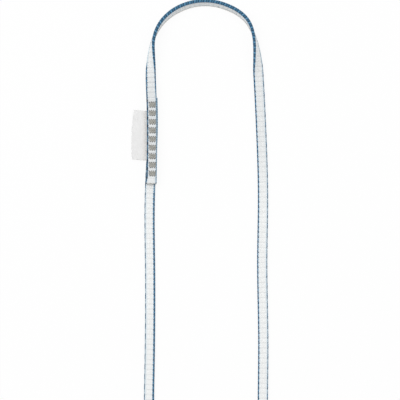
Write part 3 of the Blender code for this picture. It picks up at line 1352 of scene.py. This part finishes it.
@dataclass
class BarTack:
    """One side of a bar tack: a thread with three runs across the tape and six passes along it over them.

    seat is how high its middle lies over the tape and flat how high its section is, as shares of the thread.
    It gets painted shade near its turns, where it dives into the tape, and at the tack's top, between two
    shares of the tack's length.
    """

    number: int
    layer: Layer
    joint: SewnJoint
    level: float
    thread: float = 0.00056
    passes: int = 6
    runs: int = 3
    run_spread: float = 0.0034
    run_drop: float = 0.00015
    dive: float = 0.00038
    dive_power: int = 5
    dark_from: float = 0.64
    dark_at: float = 0.80
    per_pass: int = 26
    sides: int = 12
    plies: int = 3
    ply_depth: float = 0.16
    lay: float = 0.0015
    jitter: float = 0.00006
    bobbin_shift: float = 0.0004
    bobbin_narrower: float = 0.0006
    sharpness: float = 0.985
    seat: float = 0.28
    flat: float = 0.85
    valley_shade: float = 0.85
    turn_shade: float = 0.95
    top_places: tuple[float, float] = (0.28, 0.48)
    top_shade: float = 0.30
    last_top_shade: float = 0.75
    seed_step: int = 100

    def _zigzag(self, count: int, length: float, spread: float, rng: np.random.Generator) -> np.ndarray:
        """A flat zigzag.

        Args:
            count: Number of passes.
            length: Length of a pass.
            spread: How far the passes reach side by side.
            rng: Source of the small unevenness.

        Returns:
            For each point the place along its pass, the place across, and how near it is to a turn.
        """
        t = np.linspace(0, count, count * self.per_pass + 1)
        sway = np.arcsin(self.sharpness * np.cos(math.pi * t)) / math.asin(self.sharpness)
        turns = np.arange(count + 1)
        uneven = [np.interp(t, turns, rng.normal(0, self.jitter, count + 1)) for _ in range(2)]
        along = sway * length / 2 + uneven[0]
        across = (t / count - 0.5) * spread + uneven[1]
        return np.column_stack([along, across, np.abs(sway)])

    def _line(self) -> np.ndarray:
        """The thread's middle line.

        Returns:
            For each point x, y and z, and how near it is to a turn.
        """
        rng = np.random.default_rng(self.seed_step * self.number + self.layer.value)
        sizes = self.joint.sizes
        wide, long = sizes.tack_width - self.thread, sizes.tack_length - self.thread
        centre_x, centre_y = self.joint.centres[self.number - 1]
        if self.layer is Layer.BOBBIN:
            wide -= self.bobbin_narrower
            centre_x -= self.bobbin_shift
        under = self._zigzag(self.runs, wide, self.run_spread, rng)
        over = self._zigzag(self.passes, long, wide, rng)
        x = np.concatenate([under[:, 0], over[:, 1]])
        y = np.concatenate([under[:, 1], over[:, 0]])
        turn = np.concatenate([under[:, 2], over[:, 2]])
        drop = np.concatenate([np.full(len(under), self.run_drop), np.zeros(len(over))])
        height = self.seat * self.thread - drop - self.dive * turn**self.dive_power
        return np.column_stack([centre_x + x, centre_y + y, self.level + self.layer.value * height, turn])

    def build(self, material: bpy.types.Material) -> bpy.types.Object:
        """Sew the tack.

        Args:
            material: Its material.

        Returns:
            The piece.
        """
        line, turn = np.split(self._line(), [3], axis=1)
        along = np.gradient(line, axis=0)
        along /= np.linalg.norm(along, axis=1)[:, None]
        side = np.cross(along, (0.0, 0.0, 1.0))
        side /= np.linalg.norm(side, axis=1)[:, None]
        up = np.cross(side, along)
        angle = np.linspace(0, math.tau, self.sides, endpoint=False)[None, :]
        steps = np.linalg.norm(np.diff(line, axis=0), axis=1)
        distance = np.concatenate([[0], np.cumsum(steps)])[:, None]
        lobe = np.abs(np.cos(self.plies / 2 * (angle - math.tau * distance / self.lay)))
        radius = self.thread / 2 * (1 - self.ply_depth * (1 - lobe))
        wide = np.cos(angle)[..., None] * side[:, None, :]
        high = self.flat * np.sin(angle)[..., None] * up[:, None, :]
        rings = line[:, None, :] + (wide + high) * radius[..., None]
        word = self.layer.name.lower()
        turns = (1.0, float(distance[-1, 0]) / self.lay)
        grid = BentGrid(f"bar_tack_{self.number}_{word}", rings, turns=turns)
        # painted shade between the plies
        grid.paint("valley", (1 - lobe) ** 2 * self.valley_shade)
        # painted shade where the thread turns and dives into the tape
        dark = ramp(turn, self.dark_from, self.dark_at) * self.turn_shade
        sizes = self.joint.sizes
        up_the_tack = (line[:, 1:2] - self.joint.centres[self.number - 1][1]) / sizes.tack_length
        top_shade = self.last_top_shade if self.number == sizes.count else self.top_shade
        # with painted shade at the tack's top
        grid.paint("painted_shade", np.maximum(dark, ramp(up_the_tack, *self.top_places) * top_shade))
        piece = grid.finish(material, "grey_thread")
        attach(piece, "webbing")
        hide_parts(f"bar_tack_{self.number}_{word}_thread")
        return piece


@dataclass
class FoldedLabel:
    """The ribbon label: two leaves that leave the joint together, droop to the table and meet in a fold."""

    length: float = 0.0380
    cloth: float = 0.00022
    hinge: tuple[float, float, float] = (-0.0427, 0.1592, 0.00315)
    reach_middle: float = 0.0098
    reach_top: float = 0.0081
    reach_bottom: float = 0.0095
    inside: float = 0.0060
    droop_deg: float = 13.5
    lean: float = 0.0009
    leaf_gap: float = 0.00032
    puff: float = 0.00030
    puff_shape: float = 0.8
    ripple: float = 0.00008
    ripple_waves: float = 19.0
    ripple_start: float = 1.0
    rim: float = 0.0006
    rim_tone: float = 0.35
    warm_and_shadow_length: float = 0.0022
    warm_and_shadow_tone: float = 0.30
    columns: int = 48
    fold_rows: int = 10
    leaf_rows: int = 26
    turn_start: float = 0.0004
    turn_end: float = 0.0008

    @property
    def reach(self) -> float:
        """Mean reach from the hinge to the fold."""
        return (self.reach_top + self.reach_bottom + 4 * self.reach_middle) / 6

    def _leaf(self, out: np.ndarray) -> np.ndarray:
        """Heights of the upper leaf over the label's middle plane.

        Args:
            out: Distance from the hinge, away from the tape.

        Returns:
            The heights.
        """
        share = ramp(out, 0, self.reach_middle)
        return self.leaf_gap / 2 + self.puff * np.sin(math.pi * share**self.puff_shape)

    def _rings(self, across: np.ndarray, out: np.ndarray, high: np.ndarray) -> np.ndarray:
        """The label's points.

        Args:
            across: Share of the length from the middle, one for each column.
            out: Distance from the hinge, one for each row.
            high: Height over the middle plane, one for each row.

        Returns:
            The points, as rows, columns and x, y, z.
        """
        ends = (self.reach_top + self.reach_bottom) / 2 - self.reach_middle
        tip = self.reach_middle + (self.reach_top - self.reach_bottom) * across + ends * (2 * across) ** 2
        past = ramp(out, 0, self.reach_middle)[:, None]
        reached = np.where(out[:, None] > 0, out[:, None] * tip / self.reach_middle, out[:, None])
        droop = math.radians(self.droop_deg)
        x = self.hinge[0] - reached * np.where(reached > 0, math.cos(droop), 1.0)
        y = self.hinge[1] + across * self.length + self.lean * past
        wave = self.ripple * np.sin(across * self.ripple_waves + self.ripple_start) * past
        z = self.hinge[2] + high[:, None] + wave - np.maximum(reached, 0) * math.sin(droop)
        return np.stack(np.broadcast_arrays(x, y, z), axis=-1)

    def build(self, material: bpy.types.Material) -> bpy.types.Object:
        """Fold the label.

        Args:
            material: Its material.

        Returns:
            The piece.
        """
        leaf = np.linspace(-self.inside, self.reach_middle, self.leaf_rows)
        turn = np.linspace(math.pi / 2, -math.pi / 2, self.fold_rows + 2)[1:-1]
        radius = self.leaf_gap / 2
        out = np.concatenate([leaf, self.reach_middle + radius * np.cos(turn), leaf[::-1]])
        high = np.concatenate([self._leaf(leaf), radius * np.sin(turn), -self._leaf(leaf[::-1])])
        rim = self.rim / self.length
        across = np.linspace(-0.5 + rim, 0.5 - rim, self.columns)
        across = np.concatenate([[-0.5, -0.5 + rim / 2], across, [0.5 - rim / 2, 0.5]])
        grid = BentGrid("folded_label", self._rings(across, out, high), closed=False)
        # warm tint and painted shadow near the root by the tape
        grid.paint("warm_and_shadow", ramp(out, self.warm_and_shadow_length, 0)[:, None] * self.warm_and_shadow_tone)
        grid.paint("rim", ramp(np.abs(across), 0.5 - rim, 0.5)[None, :] * self.rim_tone)
        piece = grid.finish(material, "white_ribbon")
        thick = piece.modifiers.new("cloth", "SOLIDIFY")
        thick.thickness = self.cloth
        thick.offset = 0.0
        self._apply(piece)
        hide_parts("label_tab", "label_flap")
        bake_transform(piece)
        return piece

    @staticmethod
    def _apply(piece: bpy.types.Object) -> None:
        """Apply the piece's modifiers to its mesh.

        Args:
            piece: The piece.
        """
        graph = bpy.context.evaluated_depsgraph_get()
        made = bpy.data.meshes.new_from_object(piece.evaluated_get(graph))
        piece.modifiers.clear()
        old = piece.data
        piece.data = made
        bpy.data.meshes.remove(old)
        made.name = piece.name


@dataclass
class Studio:
    """A pale table, soft daylight and a camera that looks straight down."""

    view_centre: tuple[float, float] = (0.00014, 0.1098)
    view_size: float = 0.308
    lens: float = 120.0
    sensor: float = 36.0
    daylight: float = 0.53
    lamp_size: float = 1.2
    left_power: float = 16.2
    right_power: float = 9.8
    left_place: tuple[float, float, float] = (-1.1, 0.5, 1.4)
    right_place: tuple[float, float, float] = (1.2, 0.4, 1.4)
    table_reach: float = 2.0
    table_drop: float = 0.0001
    table_glow: float = 0.92
    table_colour: Colour = (0.88, 0.88, 0.88)
    table_roughness: float = 0.9
    nearest: float = 0.01

    def camera(self) -> None:
        """The camera, as far up as its lens needs for the photograph's frame."""
        data = bpy.data.cameras.new("camera")
        data.lens = self.lens
        data.sensor_width = self.sensor
        data.clip_start = self.nearest
        camera = bpy.data.objects.new("camera", data)
        height = self.view_size * self.lens / self.sensor
        camera.location = (*self.view_centre, height)
        bpy.context.scene.collection.objects.link(camera)
        bpy.context.scene.camera = camera

    def _pale(self) -> bpy.types.Material:
        """The table's finish: dull, and nearly white to the camera and in reflections.

        Returns:
            The material.
        """
        material = bpy.data.materials.new("pale_table")
        material.use_nodes = True
        wires = Wiring(material.node_tree)
        shader = material.node_tree.nodes["Principled BSDF"]
        shader.inputs["Base Color"].default_value = (*self.table_colour, 1.0)
        shader.inputs["Roughness"].default_value = self.table_roughness
        shader.inputs["Specular IOR Level"].default_value = 0.0
        light = wires.node("Emission")
        light.inputs["Color"].default_value = (1.0, 1.0, 1.0, 1.0)
        ray = wires.node("LightPath")
        looking = ray.outputs["Is Camera Ray"]
        for kind in ("Is Glossy Ray", "Is Transmission Ray"):
            looking = wires.math("MAXIMUM", looking, ray.outputs[kind])
        mix = wires.node("MixShader")
        wires.put(wires.math("MULTIPLY", looking, self.table_glow), mix.inputs[0])
        wires.put(shader.outputs[0], mix.inputs[1])
        wires.put(light.outputs[0], mix.inputs[2])
        wires.put(mix.outputs[0], material.node_tree.nodes["Material Output"].inputs["Surface"])
        return material

    def table(self) -> None:
        """The pale table, with the sling's soft shadow on it."""
        shell = bmesh.new()
        bmesh.ops.create_grid(shell, x_segments=2, y_segments=2, size=self.table_reach)
        bmesh.ops.translate(shell, verts=shell.verts, vec=(0.0, 0.0, -self.table_drop))
        mesh = bpy.data.meshes.new("table")
        shell.to_mesh(mesh)
        shell.free()
        mesh.materials.append(self._pale())
        table = bpy.data.objects.new("table", mesh)
        bpy.context.scene.collection.objects.link(table)

    def lamp(self, name: str, place: tuple[float, float, float], power: float) -> None:
        """A square soft light that faces the sling.

        Args:
            name: Its name.
            place: Where it stands.
            power: Its power in watts.
        """
        data = bpy.data.lights.new(name, "AREA")
        data.shape = "SQUARE"
        data.size = self.lamp_size
        data.energy = power
        lamp = bpy.data.objects.new(name, data)
        lamp.location = place
        aim = Vector((*self.view_centre, 0.0)) - lamp.location
        lamp.rotation_euler = aim.to_track_quat("-Z", "Y").to_euler()
        bpy.context.scene.collection.objects.link(lamp)

    def light(self) -> None:
        """Even daylight from the room, and two soft lamps."""
        world = bpy.data.worlds.new("daylight")
        world.use_nodes = True
        sky = world.node_tree.nodes["Background"]
        sky.inputs["Color"].default_value = (1.0, 1.0, 1.0, 1.0)
        sky.inputs["Strength"].default_value = self.daylight
        bpy.context.scene.world = world
        self.lamp("left_lamp", self.left_place, self.left_power)
        self.lamp("right_lamp", self.right_place, self.right_power)
        bpy.context.scene.view_settings.view_transform = "Standard"


def report(piece: bpy.types.Object) -> None:
    """Say in the log what was made."""
    log.info("%s, %d faces", piece.name, len(piece.data.polygons))


def build_tape(
    tape: TapeSizes, route: TapeRoute, joint: SewnJoint, dyer: Dyer
) -> tuple[bpy.types.Object, list[bpy.types.Object]]:
    """Weave the core and wrap its two edges.

    Args:
        tape: The tape's sizes.
        route: The tape's route.
        joint: The sewn joint.
        dyer: The materials.

    Returns:
        The core, and the two edge yarns.
    """
    core = WovenCore(tape, route, joint).build(dyer.woven_white())
    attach(core, "webbing")
    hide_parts("tape_core")
    report(core)
    near = Cover(right=0.00108, left=0.00162, inside=0.00120, in_joint=0.00070, above=0.00085)
    far = Cover(right=0.00066, left=0.00060, inside=0.00060, in_joint=0.00122, above=0.00150)
    blue = dyer.blue_edge()
    yarns = []
    for edge, cover, node in ((Edge.NEAR, near, "selvedge_near"), (Edge.FAR, far, "selvedge_far")):
        yarn = EdgeYarn(edge, tape, route, joint, cover).build(blue)
        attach(yarn, "webbing")
        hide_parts(node)
        report(yarn)
        yarns.append(yarn)
    return core, yarns


def sew_tacks(tape: TapeSizes, joint: SewnJoint, dyer: Dyer) -> list[bpy.types.Object]:
    """Sew both sides of every bar tack.

    Args:
        tape: The tape's sizes.
        joint: The sewn joint.
        dyer: The materials.

    Returns:
        The threads.
    """
    grey = dyer.grey_thread()
    top = tape.lift_two + tape.thickness - joint.sizes.sink
    below = tape.lift_one - joint.sizes.lowered + joint.sizes.bobbin_sink
    threads = []
    for number in range(1, joint.sizes.count + 1):
        for layer, level in ((Layer.NEEDLE, top), (Layer.BOBBIN, below)):
            thread = BarTack(number, layer, joint, level).build(grey)
            report(thread)
            threads.append(thread)
    return threads


def main() -> None:
    """Build the sling's pieces in order and report each."""
    logging.basicConfig(level=logging.INFO, format="%(name)s: %(message)s")
    studio = Studio()
    studio.camera()
    tape = TapeSizes()
    route = TapeRoute(tape)
    joint = SewnJoint(JointSizes(), route)
    dyer = Dyer()
    core, yarns = build_tape(tape, route, joint, dyer)
    threads = sew_tacks(tape, joint, dyer)
    report(FoldedLabel().build(dyer.satin_ribbon()))

    line = route.stations(CORD_STEP).centre
    studio.table()
    studio.light()


if __name__ == "__main__":
    main()
